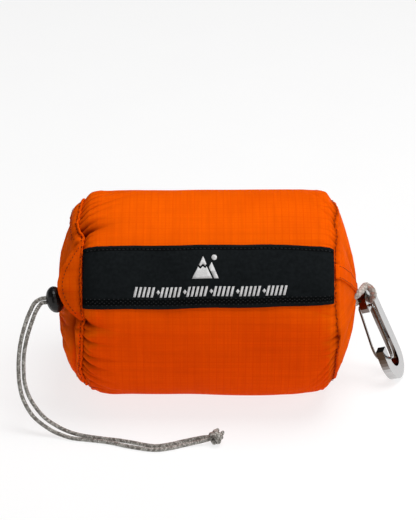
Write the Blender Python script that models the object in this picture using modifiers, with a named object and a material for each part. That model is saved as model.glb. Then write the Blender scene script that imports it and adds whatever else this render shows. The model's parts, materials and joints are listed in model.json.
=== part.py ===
"""Packed camping hammock: a stuff sack lying on its side with a cord lock and a wire-gate carabiner.

World frame in metres, +Z up. The origin is on the floor under the middle of the sack.
The sack's axis runs along X, with its closed base at +X and its drawn mouth at -X.
The maker's label faces -Y and up.
"""
import math

import bmesh
import bpy
from mathutils import Euler, Matrix, Vector

MM = 0.001
GAP = 0.3

# Sack
R_SACK = 68.5
AXIS_Z = 66.0
CLOTH = 1.2
TUBE = ((-82.5, 61.8), (-80.5, 64.6), (-77.5, 67.0), (-72.0, 68.3), (-62.0, 68.5),
        (62.0, 68.5), (72.0, 68.3), (77.5, 66.8), (80.5, 63.9), (81.8, 61.5))
BASE = ((82.2, 61.4), (84.0, 59.0), (87.5, 52.0), (91.0, 41.0), (94.3, 28.0),
        (96.3, 16.0), (98.1, 6.0), (98.7, 1.2))
COVER = ((-81.2, 57.6), (-83.6, 55.2), (-86.2, 52.2), (-88.8, 49.4), (-91.4, 47.2), (-93.4, 44.6),
         (-95.3, 38.6), (-97.0, 29.3), (-98.0, 18.0), (-98.8, 1.6))
HEM = ((-82.9, 62.0), (-86.6, 58.7), (-90.2, 55.2), (-91.6, 52.4), (-91.0, 50.0),
       (-90.3, 50.9), (-90.5, 52.6), (-89.3, 54.6), (-86.0, 57.8), (-82.9, 60.7))
HEM_SPAN = (57.5, 368.5)
FLAP_EDGE = ((9.5, -84.6), (14.0, -89.0), (19.0, -93.2), (25.0, -96.4), (31.0, -97.2),
             (38.0, -95.6), (46.0, -91.2), (56.5, -84.8))
FLAP_WALL = 1.0

# Label and base strap
LABEL_ANGLE = 34.0
LABEL_WIDTH = 40.0
LABEL_HALF_LENGTH = 80.2
TAPE_WALL = 1.0
STRAP_ANGLE = 36.0
STRAP_WIDTH = 10.6

# Packed contents
ROLL_ENDS = (-78.0, 76.0)
ROLL_CORE = 17.0
ROLL_PITCH = 8.0
ROLL_LAYER = 7.4
ROLL_TURNS = 5
ROPE_R = 2.5
COIL_R = 11.0

# Cord lock, in its own axes: x from cord exit to cord entry, y away from the label side, z up
CORD_R = 1.3
STRAND_Z = (2.25, -0.65)
LOCK_AT = (-99.5, -46.6, 83.1)
LOCK_TURN = (-25.0, -12.0)
LOCK_SIZE = (5.8, 9.0, 8.7)
STEM_HALF = (2.1, 4.7)
STEM_Y = (-3.2, 11.6)
SPRING_Y = (-7.4, -3.5)

# Drawcord tails, from the lock to the knot
TAIL_A = ((-112.7, -48.0, 81.2), (-115.3, -50.4, 76.9), (-117.7, -53.0, 71.8), (-120.9, -57.6, 61.9),
          (-122.7, -60.6, 51.8), (-123.3, -63.6, 41.7), (-122.7, -66.8, 31.7), (-120.1, -70.4, 21.9),
          (-113.8, -74.6, 12.4), (-104.0, -78.4, 5.6), (-96.2, -80.9, 2.6), (-88.3, -84.0, 1.6),
          (-80.5, -85.4, 1.4), (-70.0, -87.6, 1.4), (-62.2, -90.0, 1.4), (-51.7, -94.5, 1.4),
          (-36.2, -98.8, 1.4), (-26.0, -97.1, 1.4), (-15.8, -92.6, 1.4), (-2.4, -89.9, 3.4))
TAIL_B = ((-111.6, -51.2, 77.0), (-114.0, -54.2, 71.7), (-117.3, -57.8, 62.0), (-119.4, -60.8, 51.9),
          (-119.9, -63.9, 41.9), (-119.1, -67.2, 32.0), (-115.2, -70.8, 22.2), (-107.4, -74.7, 12.6),
          (-98.8, -77.2, 7.0), (-91.0, -79.5, 4.0), (-83.2, -80.9, 2.2), (-75.4, -82.3, 1.5),
          (-67.6, -84.2, 1.4), (-59.7, -86.0, 1.4), (-51.9, -88.3, 1.4), (-36.3, -93.7, 1.4),
          (-26.1, -91.9, 1.4), (-15.8, -87.2, 1.4), (-2.2, -85.6, 3.4))
KNOT_AT = (4.5, -88.0, 4.9)
KNOT_SIZE = (6.2, 5.4, 4.7)
END_A = ((5.2, -86.6, 10.1), (5.9, -85.6, 12.0), (7.0, -84.6, 13.7))
END_B = ((10.4, -87.2, 7.6), (11.6, -86.6, 9.0), (12.6, -85.8, 10.9))

# Carabiner plate, in its own axes: w from gate to spine, l from the loop down, bar width
HANG_AT = (103.5, 0.0, 65.0)
HANG_LEAN = 21.2
HANG_TWIST = 72.5
PLATE = 5.4
PLATE_PATH = ((-6.2, 9.6, 6.6), (-6.4, 5.4, 6.6), (-5.6, 1.6, 6.0), (-2.9, 0.0, 5.1), (0, 0, 5.1),
              (2.9, 0.1, 5.1), (5.8, 1.4, 6.2), (7.7, 4.6, 7.0), (8.4, 9.5, 7.4), (9.3, 22.5, 8.2),
              (10.7, 37.0, 8.4), (11.7, 50.2, 8.4), (11.4, 58.0, 8.8), (7.8, 63.0, 9.0), (1.6, 64.0, 8.8),
              (-4.6, 60.8, 8.2), (-8.6, 54.4, 7.6), (-9.7, 48.0, 7.2), (-9.8, 39.0, 6.8))
WIRE_R = 0.95
GATE_AT = (-5.8, 6.4)
GATE_LEG = ((-5.8, 6.4, 0.6), (-5.8, 6.4, 2.2), (-5.8, 6.45, 3.8), (-5.8, 7.6, 4.8), (-6.0, 11.0, 5.0),
            (-6.9, 26.5, 5.6), (-7.6, 40.0, 6.0), (-6.8, 46.6, 5.2), (-4.8, 49.4, 3.2))
GATE_BAR = (-4.5, 49.6, 0.0)
PIN_HOLE_R = 1.25
SPARE_AT = (84.4, -1.0, 97.0)

# Rope loop on the base
LOOP_R = 6.15
LOOP_ROPE_R = 2.3


def clear_scene():
    for old in list(bpy.data.objects):
        bpy.data.objects.remove(old, do_unlink=True)


def new_collection(name, cutters=False):
    group = bpy.data.collections.new(name)
    bpy.context.scene.collection.children.link(group)
    group.hide_render = cutters
    return group


def material(name, colour, roughness, metallic=0.0):
    mat = bpy.data.materials.new(name)
    mat.use_nodes = True
    shader = mat.node_tree.nodes["Principled BSDF"]
    shader.inputs["Base Color"].default_value = (*colour, 1.0)
    shader.inputs["Roughness"].default_value = roughness
    shader.inputs["Metallic"].default_value = metallic
    mat.diffuse_color = (*colour, 1.0)
    return mat


def mm(values):
    return Vector(values) * MM


def on_sack(x, r, angle):
    """A point at radius r round the sack's axis; 0 degrees faces -Y and 90 degrees is up.

    Every layer is pressed flat underneath, the outer ones most, so that the sack rests on a flat.
    """
    a = math.radians(angle)
    pressed = (R_SACK - AXIS_Z) * (r / R_SACK) ** 2
    return mm((x, -r * math.cos(a), max(AXIS_Z + r * math.sin(a), AXIS_Z - r + pressed)))


def along(profile, x):
    """The radius of a profile at x."""
    pairs = sorted(profile)
    for (xa, ra), (xb, rb) in zip(pairs, pairs[1:]):
        if x <= xb:
            share = max(0.0, min(1.0, (x - xa) / (xb - xa)))
            return ra + (rb - ra) * share
    return pairs[-1][1]


def dome_x(r):
    """How far out the base panel reaches at radius r."""
    for (xa, ra), (xb, rb) in zip(BASE, BASE[1:]):
        if r >= rb:
            return xa + (xb - xa) * (ra - r) / (ra - rb)
    return BASE[-1][0]


def spline(points, steps):
    """A smooth run of points through the given ones."""
    pts = [Vector(p) for p in points]
    pts = [pts[0] * 2 - pts[1], *pts, pts[-1] * 2 - pts[-2]]
    run = []
    for a, b, c, d in zip(pts, pts[1:], pts[2:], pts[3:]):
        for i in range(steps):
            t = i / steps
            run.append(0.5 * (2 * b + (c - a) * t + (2 * a - 5 * b + 4 * c - d) * t * t
                              + (3 * b - a - 3 * c + d) * t ** 3))
    run.append(pts[-2])
    return run


def even(points, spacing):
    """The same run at an even spacing."""
    lengths = [0.0]
    for a, b in zip(points, points[1:]):
        lengths.append(lengths[-1] + (b - a).length)
    count = max(2, round(lengths[-1] / spacing))
    out = []
    k = 0
    for i in range(count + 1):
        want = lengths[-1] * i / count
        while k < len(points) - 2 and lengths[k + 1] < want:
            k += 1
        share = (want - lengths[k]) / (lengths[k + 1] - lengths[k])
        out.append(points[k].lerp(points[k + 1], share))
    return out


def finish(obj, group, mat):
    obj.data.materials.append(mat)
    group.objects.link(obj)
    return obj


def skin(name, loops, group, mat, ring=False, smooth=False):
    """One closed body through a row of closed loops, joined end to end or capped."""
    mesh = bpy.data.meshes.new(name)
    bm = bmesh.new()
    rows = [[bm.verts.new(p) for p in loop] for loop in loops]
    pairs = list(zip(rows, rows[1:]))
    if ring:
        pairs.append((rows[-1], rows[0]))
    for one, two in pairs:
        for k in range(len(one)):
            n = (k + 1) % len(one)
            bm.faces.new((one[k], one[n], two[n], two[k]))
    if not ring:
        bm.faces.new(rows[0])
        bm.faces.new(reversed(rows[-1]))
    bmesh.ops.recalc_face_normals(bm, faces=bm.faces)
    for face in bm.faces:
        face.smooth = smooth
    bm.to_mesh(mesh)
    bm.free()
    return finish(bpy.data.objects.new(name, mesh), group, mat)


def wall(profile, thickness):
    """A closed outline: the profile and the same line moved towards the axis."""
    inner = []
    for i, (x, r) in enumerate(profile):
        xa, ra = profile[max(0, i - 1)]
        xb, rb = profile[min(len(profile) - 1, i + 1)]
        along_x, along_r = xb - xa, rb - ra
        size = math.hypot(along_x, along_r)
        side = 1.0 if along_x > 0 else -1.0
        inner.append((x + side * along_r / size * thickness,
                      max(0.9, r - side * along_x / size * thickness)))
    return list(profile) + inner[::-1]


def turned(name, outline, group, mat, count=48, span=None):
    """An outline carried round the sack's axis, all the way or over a span of angles."""
    if span is None:
        angles = [360.0 * i / count for i in range(count)]
    else:
        angles = [span[0] + (span[1] - span[0]) * i / count for i in range(count + 1)]
    loops = [[on_sack(x, r, a) for x, r in outline] for a in angles]
    return skin(name, loops, group, mat, ring=span is None, smooth=True)


def cord(name, points, radius, group, mat, closed=False, sides=2):
    """A round cord through the points, with flat ends."""
    curve = bpy.data.curves.new(name, "CURVE")
    curve.dimensions = "3D"
    curve.bevel_depth = radius * MM
    curve.bevel_resolution = sides
    curve.use_fill_caps = True
    line = curve.splines.new("POLY")
    line.points.add(len(points) - 1)
    for point, pos in zip(line.points, points):
        point.co = (*mm(pos), 1.0)
    line.use_cyclic_u = closed
    return finish(bpy.data.objects.new(name, curve), group, mat)


def sack_cloth(group, mats):
    turned("sack_tube", wall(TUBE, CLOTH), group, mats["cloth"])
    turned("base_panel", wall(BASE, CLOTH), group, mats["cloth"], count=40)
    turned("mouth_cover", wall(COVER, CLOTH), group, mats["cloth"], count=40)
    turned("mouth_hem", HEM, group, mats["cloth"], count=42, span=HEM_SPAN)


def mouth_flap(group, mats):
    """The stretch of the hem beside the label, standing straight out over the cord lock."""
    loops = []
    for angle, tip in FLAP_EDGE:
        r_tip = 62.0 - 0.08 * (-82.9 - tip)
        outline = [(-82.9, 62.0), (tip, r_tip), (tip, r_tip - FLAP_WALL), (-82.9, 62.0 - FLAP_WALL)]
        loops.append([on_sack(x, r, angle) for x, r in outline])
    skin("mouth_flap", loops, group, mats["cloth"])


def label_tape(group, mats):
    half = math.degrees(LABEL_WIDTH / 2 / (R_SACK + GAP))
    angles = [LABEL_ANGLE - half + 2 * half * i / 12 for i in range(13)]
    stations = [-LABEL_HALF_LENGTH, -77.5, -72.0, -62.0, -20.0, 20.0, 62.0, 72.0, 77.5, LABEL_HALF_LENGTH]
    loops = []
    for x in stations:
        under = along(TUBE, x) + GAP
        outer = [on_sack(x, under + TAPE_WALL, a) for a in angles]
        inner = [on_sack(x, under, a) for a in reversed(angles)]
        loops.append(outer + inner)
    skin("label_tape", loops, group, mats["tape"], smooth=False)


def base_strap(group, mats):
    """A strap sewn on the base from the seam to just short of the tip, where the rope loop comes out."""
    a = math.radians(STRAP_ANGLE)
    half = STRAP_WIDTH / 2
    runs = [58.0 - 43.0 * i / 12 for i in range(13)]
    loops = []
    for run in runs:
        top, under = [], []
        for side in (-half, 0.0, half):
            y = -(run * math.cos(a) - side * math.sin(a))
            z = AXIS_Z + run * math.sin(a) + side * math.cos(a)
            x = dome_x(math.hypot(run, side)) + GAP + 0.05
            under.append(mm((x, y, z)))
            top.append(mm((x + TAPE_WALL, y, z)))
        loops.append(top + under[::-1])
    skin("base_strap", loops, group, mats["cloth"])


def packed_contents(group, mats):
    turns = 36
    loops = []
    for i in range(ROLL_TURNS * turns + 1):
        r = ROLL_CORE + ROLL_PITCH * i / turns
        angle = 360.0 * i / turns - 60.0
        corners = [(ROLL_ENDS[0], r), (ROLL_ENDS[0], r + ROLL_LAYER),
                   (ROLL_ENDS[1], r + ROLL_LAYER), (ROLL_ENDS[1], r)]
        loops.append([on_sack(x, rr, angle) for x, rr in corners])
    skin("hammock_roll", loops, group, mats["hammock"])
    for name, start in (("suspension_rope_a", -72.0), ("suspension_rope_b", 6.0)):
        points = []
        for i in range(85):
            turn = 2 * math.pi * i / 9
            points.append((start + 64.0 * i / 84, COIL_R * math.cos(turn), AXIS_Z + COIL_R * math.sin(turn)))
        cord(name, points, ROPE_R, group, mats["rope"], sides=1)
    for name, y in (("gather_loop_a", -20.0), ("gather_loop_b", 20.0)):
        points = []
        for i in range(32):
            turn = 2 * math.pi * i / 32
            points.append((-85.0, y + 13.0 * math.cos(turn), AXIS_Z + 24.0 * math.sin(turn)))
        cord(name, points, ROPE_R, group, mats["rope"], closed=True, sides=1)


def lock_frame():
    turn = Matrix.Rotation(math.radians(LOCK_TURN[0]), 4, "X") @ Matrix.Rotation(math.radians(LOCK_TURN[1]), 4, "Y")
    return Matrix.Translation(mm(LOCK_AT)) @ turn


def lock_point(x, y, z):
    """A point in the cord lock's own axes, in world millimetres."""
    return tuple((lock_frame() @ mm((x, y, z))) / MM)


def drawcord(group, mats):
    ring = []
    for i in range(73):
        ring.append(on_sack(-85.0, 56.6, 40.5 + 321.5 * i / 72) / MM)
    cord("drawcord_loop", ring, CORD_R, group, mats["cord"])

    def channel(x, r, angle):
        a = math.radians(angle)
        return (x, -r * math.cos(a), AXIS_Z + r * math.sin(a))

    starts = (
        (channel(-85.0, 56.6, 39.8), channel(-86.2, 55.8, 35.5), channel(-88.8, 53.8, 30.0)),
        (channel(-85.0, 56.6, 3.0), channel(-86.2, 55.8, 7.5), channel(-88.6, 53.6, 13.0)),
    )
    routes = (TAIL_A, TAIL_B)
    for name, start, z, route in zip(("drawcord_tail_a", "drawcord_tail_b"), starts, STRAND_Z, routes):
        inside = [lock_point(x, 0.0, z) for x in (8.6, 6.0, 2.0, -2.0, -6.0, -9.2)]
        points = [p for p in spline([*start, *inside, *route], 6)]
        cord(name, even(points, 3.2), CORD_R, group, mats["cord"])
    for name, route in (("drawcord_end_a", END_A), ("drawcord_end_b", END_B)):
        cord(name, even(spline(route, 4), 2.2), CORD_R, group, mats["cord"])


def drawcord_knot(group, mats):
    mesh = bpy.data.meshes.new("drawcord_knot")
    bm = bmesh.new()
    bmesh.ops.create_icosphere(bm, subdivisions=3, radius=1.0)
    bmesh.ops.scale(bm, verts=bm.verts, vec=mm(KNOT_SIZE))
    bm.to_mesh(mesh)
    bm.free()
    knot = finish(bpy.data.objects.new("drawcord_knot", mesh), group, mats["cord"])
    knot.location = mm(KNOT_AT)


def box_mesh(bm, low, high):
    made = bmesh.ops.create_cube(bm, size=1.0)["verts"]
    size = [b - a for a, b in zip(low, high)]
    middle = [(a + b) / 2 for a, b in zip(low, high)]
    bmesh.ops.scale(bm, verts=made, vec=mm(size))
    bmesh.ops.translate(bm, verts=made, vec=mm(middle))
    return made


def tool(name, build, frame, group):
    """A cutter built in its owner's own axes."""
    mesh = bpy.data.meshes.new(name)
    bm = bmesh.new()
    build(bm)
    bm.to_mesh(mesh)
    bm.free()
    cutter = bpy.data.objects.new(name, mesh)
    cutter.matrix_world = frame
    cutter.display_type = "WIRE"
    group.objects.link(cutter)
    return cutter


def cut(obj, cutter):
    step = obj.modifiers.new(cutter.name, "BOOLEAN")
    step.operation = "DIFFERENCE"
    step.solver = "EXACT"
    step.object = cutter


def round_cutter(bm, radius, depth, turn, middle, segments=24):
    made = bmesh.ops.create_cone(bm, cap_ends=True, segments=segments, radius1=radius * MM,
                                 radius2=radius * MM, depth=depth * MM)["verts"]
    bmesh.ops.rotate(bm, verts=made, cent=(0, 0, 0), matrix=turn)
    bmesh.ops.translate(bm, verts=made, vec=mm(middle))


def cord_lock(group, cutters, mats):
    """An egg-shaped lock: the sprung plunger slides in it from the back and pinches both cords."""
    frame = lock_frame()
    mesh = bpy.data.meshes.new("cord_lock_body")
    bm = bmesh.new()
    bmesh.ops.create_uvsphere(bm, u_segments=24, v_segments=14, radius=1.0)
    bmesh.ops.scale(bm, verts=bm.verts, vec=mm(LOCK_SIZE))
    for face in bm.faces:
        face.smooth = True
    bm.to_mesh(mesh)
    bm.free()
    body = finish(bpy.data.objects.new("cord_lock_body", mesh), group, mats["lock"])
    body.matrix_world = frame

    slot_low, slot_high = STRAND_Z[1] - CORD_R - GAP, STRAND_Z[0] + CORD_R + GAP
    stem_x, stem_z = STEM_HALF
    cut(body, tool("lock_cord_hole", lambda b: box_mesh(
        b, (-12.0, -CORD_R - GAP, slot_low), (12.0, CORD_R + GAP, slot_high)), frame, cutters))
    cut(body, tool("lock_stem_hole", lambda b: box_mesh(
        b, (-stem_x - 0.2, -5.5, -stem_z - 0.2), (stem_x + 0.2, 14.0, stem_z + 0.2)), frame, cutters))
    across = Matrix.Rotation(math.radians(90), 3, "X")
    cut(body, tool("lock_spring_hole", lambda b: round_cutter(
        b, 2.0, 5.0, across, (0.0, -5.2, 0.0)), frame, cutters))

    mesh = bpy.data.meshes.new("cord_lock_plunger")
    bm = bmesh.new()
    box_mesh(bm, (-stem_x, STEM_Y[0], -stem_z), (stem_x, STEM_Y[1], stem_z))
    bm.to_mesh(mesh)
    bm.free()
    plunger = finish(bpy.data.objects.new("cord_lock_plunger", mesh), group, mats["lock"])
    plunger.matrix_world = frame
    cut(plunger, tool("plunger_slot", lambda b: box_mesh(
        b, (-6.0, -CORD_R - 0.2, slot_low), (6.0, CORD_R + 2.5, slot_high)), frame, cutters))
    edge = plunger.modifiers.new("edge", "BEVEL")
    edge.width = 0.35 * MM
    edge.segments = 2
    edge.limit_method = "ANGLE"

    spring = []
    for i in range(37):
        turn = 2 * math.pi * i / 10
        y = SPRING_Y[0] + 0.35 + (SPRING_Y[1] - SPRING_Y[0] - 0.7) * i / 36
        spring.append(lock_point(1.35 * math.cos(turn), y, 1.35 * math.sin(turn)))
    cord("cord_lock_spring", spring, 0.3, group, mats["steel"], sides=1)


def plate_loops():
    """Square sections along the plate's path, each turned to the path and as wide as the bar."""
    path = spline(PLATE_PATH, 3)
    loops = []
    for i, point in enumerate(path):
        before, after = path[max(0, i - 1)], path[min(len(path) - 1, i + 1)]
        run = Vector((after.x - before.x, after.y - before.y))
        run.normalize()
        side = Vector((-run.y, run.x)) * point.z / 2
        outer = (point.x + side.x, point.y + side.y)
        inner = (point.x - side.x, point.y - side.y)
        loops.append([mm((outer[0], PLATE / 2, -outer[1])), mm((outer[0], -PLATE / 2, -outer[1])),
                      mm((inner[0], -PLATE / 2, -inner[1])), mm((inner[0], PLATE / 2, -inner[1]))])
    return loops


def carabiner(prefix, frame, group, cutters, mats):
    """A flat-plate body with a sprung wire gate on one pin hole."""
    body = skin(prefix + "_body", plate_loops(), group, mats["chrome"])
    body.matrix_world = frame
    across = Matrix.Rotation(math.radians(90), 3, "X")
    cut(body, tool(prefix + "_pin_hole", lambda b: round_cutter(
        b, PIN_HOLE_R, 12.0, across, (GATE_AT[0], 0.0, -GATE_AT[1]), 16), frame, cutters))
    edge = body.modifiers.new("edge", "BEVEL")
    edge.width = 0.7 * MM
    edge.segments = 1
    edge.limit_method = "ANGLE"
    edge.angle_limit = math.radians(60)

    leg = [Vector((w - GATE_AT[0], -n, GATE_AT[1] - l)) for w, l, n in GATE_LEG]
    bar = [Vector((GATE_BAR[0] - GATE_AT[0], 0.0, GATE_AT[1] - GATE_BAR[1]))]
    back = [Vector((p.x, -p.y, p.z)) for p in reversed(leg)]
    wire = cord(prefix + "_gate", even(spline([*leg, *bar, *back], 5), 1.9), WIRE_R, group, mats["chrome"])
    wire.matrix_world = frame @ Matrix.Translation(mm((GATE_AT[0], 0.0, -GATE_AT[1])))


def hang_frame():
    turn = Matrix.Rotation(math.radians(-HANG_LEAN), 4, "Y") @ Matrix.Rotation(math.radians(HANG_TWIST), 4, "Z")
    return Matrix.Translation(mm(HANG_AT)) @ turn


def rope_loop(group, mats):
    """A short loop of rope, sewn in at the base's tip and passed round the carabiner's top bar."""
    frame = hang_frame()
    arc = []
    for i in range(19):
        angle = math.radians(62.0 - 184.0 * i / 18)
        spot = frame @ mm((0.0, -LOOP_R * math.cos(angle), LOOP_R * math.sin(angle)))
        arc.append(spot / MM)
    last = arc[-1]
    route = [Vector((99.0, -9.9, 68.6)), Vector((101.1, -7.9, 69.7)), *arc,
             Vector((99.3, last.y - 0.1, last.z - 0.2))]
    cord("rope_loop", even(spline(route, 3), 1.5), LOOP_ROPE_R, group, mats["rope"], sides=3)


def make_materials():
    return {
        "cloth": material("orange_cloth", (0.80, 0.13, 0.01), 0.55),
        "hammock": material("hammock_cloth", (0.72, 0.12, 0.01), 0.6),
        "tape": material("black_tape", (0.012, 0.014, 0.015), 0.8),
        "cord": material("grey_cord", (0.34, 0.32, 0.30), 0.8),
        "rope": material("pale_rope", (0.5, 0.48, 0.46), 0.75),
        "lock": material("black_plastic", (0.012, 0.012, 0.013), 0.35),
        "chrome": material("polished_metal", (0.75, 0.75, 0.76), 0.12, 1.0),
        "steel": material("spring_steel", (0.6, 0.6, 0.6), 0.35, 1.0),
    }


def main():
    clear_scene()
    group = new_collection("packed_hammock")
    cutters = new_collection("cutters", cutters=True)
    mats = make_materials()
    sack_cloth(group, mats)
    mouth_flap(group, mats)
    label_tape(group, mats)
    base_strap(group, mats)
    packed_contents(group, mats)
    drawcord(group, mats)
    drawcord_knot(group, mats)
    cord_lock(group, cutters, mats)
    rope_loop(group, mats)
    carabiner("carabiner", hang_frame(), group, cutters, mats)
    spare = Matrix.Translation(mm(SPARE_AT)) @ Euler((0.0, 0.0, math.radians(90.0))).to_matrix().to_4x4()
    carabiner("spare_carabiner", spare, group, cutters, mats)


main()
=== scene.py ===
"""The looks of a hammock packed in its drawcord sack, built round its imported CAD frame.

Shapes are worked out in millimetres, in the row frame: the sack's axis runs along X, with the mouth at -X.
Angles round the axis are in degrees: 0 faces -Y, where the label is, and 90 is up.
"""
import json
import math

import bmesh
import bpy
import numpy as np
from mathutils import Matrix, Vector


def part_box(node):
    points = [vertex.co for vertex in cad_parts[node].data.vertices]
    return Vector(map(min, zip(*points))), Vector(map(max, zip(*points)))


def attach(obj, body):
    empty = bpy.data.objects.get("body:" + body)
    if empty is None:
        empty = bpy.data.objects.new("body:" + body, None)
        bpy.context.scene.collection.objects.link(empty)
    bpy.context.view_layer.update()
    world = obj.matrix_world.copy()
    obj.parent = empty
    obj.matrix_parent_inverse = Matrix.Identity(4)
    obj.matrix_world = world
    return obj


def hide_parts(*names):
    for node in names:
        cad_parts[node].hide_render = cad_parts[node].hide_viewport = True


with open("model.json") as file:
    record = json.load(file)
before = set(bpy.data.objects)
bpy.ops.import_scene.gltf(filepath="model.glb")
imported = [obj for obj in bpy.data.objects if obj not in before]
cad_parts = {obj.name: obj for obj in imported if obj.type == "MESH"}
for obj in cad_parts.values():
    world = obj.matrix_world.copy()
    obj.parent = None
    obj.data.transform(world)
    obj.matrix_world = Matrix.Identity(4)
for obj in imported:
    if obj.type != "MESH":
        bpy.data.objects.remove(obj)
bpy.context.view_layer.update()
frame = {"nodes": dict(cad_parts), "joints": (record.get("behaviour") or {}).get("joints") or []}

MM = 0.001
TUBE_LOW, TUBE_HIGH = (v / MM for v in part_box("sack_tube"))
LABEL_LOW, LABEL_HIGH = (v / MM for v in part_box("label_tape"))
ROLL_LOW, ROLL_HIGH = (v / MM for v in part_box("hammock_roll"))
R_SACK = (TUBE_HIGH.y - TUBE_LOW.y) / 2
AXIS_Z = TUBE_HIGH.z - R_SACK
# How far the roll inside reaches from the axis, at its lower front
ROLL_R = AXIS_Z - ROLL_LOW.z + 2.6
MOUTH_X = TUBE_LOW.x
SEAM_X = TUBE_HIGH.x

# Outlines of the tube, the base and the gathered mouth: x and radius
TUBE = np.array((
    (-82.5, 61.6), (-80.5, 64.4), (-77.5, 66.7), (-72, 68.1), (-62, 68.5), (62, 68.5), (72, 68.3),
    (77.5, 66.8), (80.5, 63.9), (81.9, 61.5)
))
BASE = np.array((
    (81.9, 61.5), (84.0, 59.0), (87.5, 52.0), (91.0, 41.0), (94.3, 28.0), (96.3, 16.0), (98.1, 6.0),
    (98.9, 0.6)
))
COVER = np.array((
    (-84.0, 57.0), (-87.5, 55.0), (-89.5, 52.0), (-90.6, 49.0), (-91.8, 46.4), (-93.6, 42.0), (-95.3, 36.0),
    (-97.0, 28.0), (-98.0, 17.0), (-98.8, 5.0), (-98.9, 0.6)
))
# Edge of the hem band: angle, x, radius. It is tucked in under the flap
HEM_EDGE = np.array((
    (0, -86.6, 56.6), (5, -85.8, 57.2), (9, -85.0, 57.4), (14, -88.0, 54.6), (20, -89.2, 53.4),
    (34, -89.8, 52.8), (48, -89.2, 53.4), (54, -87.4, 54.8), (57.5, -86.0, 56.2), (62, -88.2, 54.6),
    (72, -90.4, 53.2), (90, -91.2, 52.8), (130, -90.8, 53.4), (170, -91.5, 52.6), (215, -90.9, 53.2),
    (250, -91.4, 52.6), (285, -90.2, 53.4), (303, -87.0, 55.6), (318, -86.2, 56.6), (333, -86.4, 57.2),
    (345, -86.0, 57.2), (360, -86.6, 56.6)
))
# Edge of the flap of hem that stands straight out over the cord lock: angle, x
FLAP_EDGE = np.array((
    (8.2, -82.6), (11, -86.4), (14, -89.6), (19, -93.8), (25, -96.6), (31, -97.3), (38, -95.4), (46, -90.8),
    (53, -86.6), (58.2, -83.0)
))

FLAP_START, FLAP_END = 8.2, 58.2
FLAP_MIDDLE = 33.5
MOUTH_SEAM_R, BASE_SEAM_R, END_R = 61.2, 60.7, 61
BASE_RUN = 66.0
LABEL_ANGLE = 34.0
LABEL_WIDTH = 40.0
STRAP_ANGLE = 38.0
STRAP_HALF = 4.8
FLAP_THICK, LABEL_THICK, PRINT_THICK, STRAP_THICK = 1.3, 0.6, 0.2, 0.6
NEARBY = (-1.5, -0.75, 0, 0.75, 1.5)
FLOOR_HALF = 3000.0

# Light: the sky's lowest and highest strength, and the lamps' watts
SKY = (0.03, 1.5)
KEY = 19.0
SIDE = 6.5
FILL = 4.7
LEFT = 3.0

# Cords, the carabiner's lean and the lock's place
CORD_R = 1.3
ROPE_R = 2.3
LOOP_R = 6.15
HANG_LEAN = 21.2
HANG_TWIST = 72.5
LOCK_AT = Vector((-99.5, -46.6, 83.1))
LOCK_TURN = Matrix.Rotation(math.radians(-25), 4, "X") @ Matrix.Rotation(math.radians(-12), 4, "Y")
STRAND_Z = (2.25, -0.65)
TAIL_A = (
    (-112.7, -48.0, 81.2), (-115.3, -50.4, 76.9), (-117.7, -53.0, 71.8), (-120.9, -57.6, 61.9),
    (-122.7, -60.6, 51.8), (-123.3, -63.6, 41.7), (-122.7, -66.8, 31.7), (-120.1, -70.4, 21.9),
    (-113.8, -74.6, 12.4), (-104.0, -78.4, 5.6), (-96.2, -80.9, 2.6), (-88.3, -84.0, 1.6),
    (-80.5, -85.4, 1.4), (-70.0, -87.6, 1.4), (-62.2, -90.0, 1.4), (-51.7, -94.5, 1.4), (-36.2, -98.8, 1.4),
    (-26.0, -97.1, 1.4), (-15.8, -92.6, 1.4), (-2.4, -89.9, 3.4)
)
TAIL_B = (
    (-111.6, -51.2, 77.0), (-114.0, -54.2, 71.7), (-117.3, -57.8, 62.0), (-119.4, -60.8, 51.9),
    (-119.9, -63.9, 41.9), (-119.1, -67.2, 32.0), (-115.2, -70.8, 22.2), (-107.4, -74.7, 12.6),
    (-98.8, -77.2, 7.0), (-91.0, -79.5, 4.0), (-83.2, -80.9, 2.2), (-75.4, -82.3, 1.5), (-67.6, -84.2, 1.4),
    (-59.7, -86.0, 1.4), (-51.9, -88.3, 1.4), (-36.3, -93.7, 1.4), (-26.1, -91.9, 1.4), (-15.8, -87.2, 1.4),
    (-2.2, -85.6, 3.4)
)
INTO_KNOT = ((2.6, -89.6, 5.4), (2.6, -88.6, 4.0))
END_A = ((4.0, -88.2, 5.4), (4.9, -87.4, 8.0), (5.9, -86.6, 10.4))
END_B = ((6.2, -88.8, 4.6), (8.0, -88.0, 6.6), (9.4, -87.2, 8.8))


# Camera and light ------

def camera():
    data = bpy.data.cameras.new("view")
    data.sensor_width = 36.0
    data.lens = 166.15
    data.clip_end = 20.0
    cam = bpy.data.objects.new("view", data)
    bpy.context.scene.collection.objects.link(cam)
    target = Vector((-0.00067, 0.00902, 0.08533))
    up, away = math.radians(25.0), 1.6
    cam.location = target + away * Vector((0.0, -math.cos(up), math.sin(up)))
    cam.rotation_euler = (math.radians(90.0) - up, 0.0, 0.0)
    bpy.context.scene.camera = cam


def area_light(name, place, aim, size, power, colour=(1, 1, 1)):
    data = bpy.data.lights.new(name, "AREA")
    data.shape = "RECTANGLE"
    data.size, data.size_y = size
    data.energy = power
    data.color = colour
    lamp = bpy.data.objects.new(name, data)
    bpy.context.scene.collection.objects.link(lamp)
    lamp.location = place
    lamp.rotation_euler = (Vector(aim) - Vector(place)).to_track_quat("-Z", "Y").to_euler()


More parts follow.
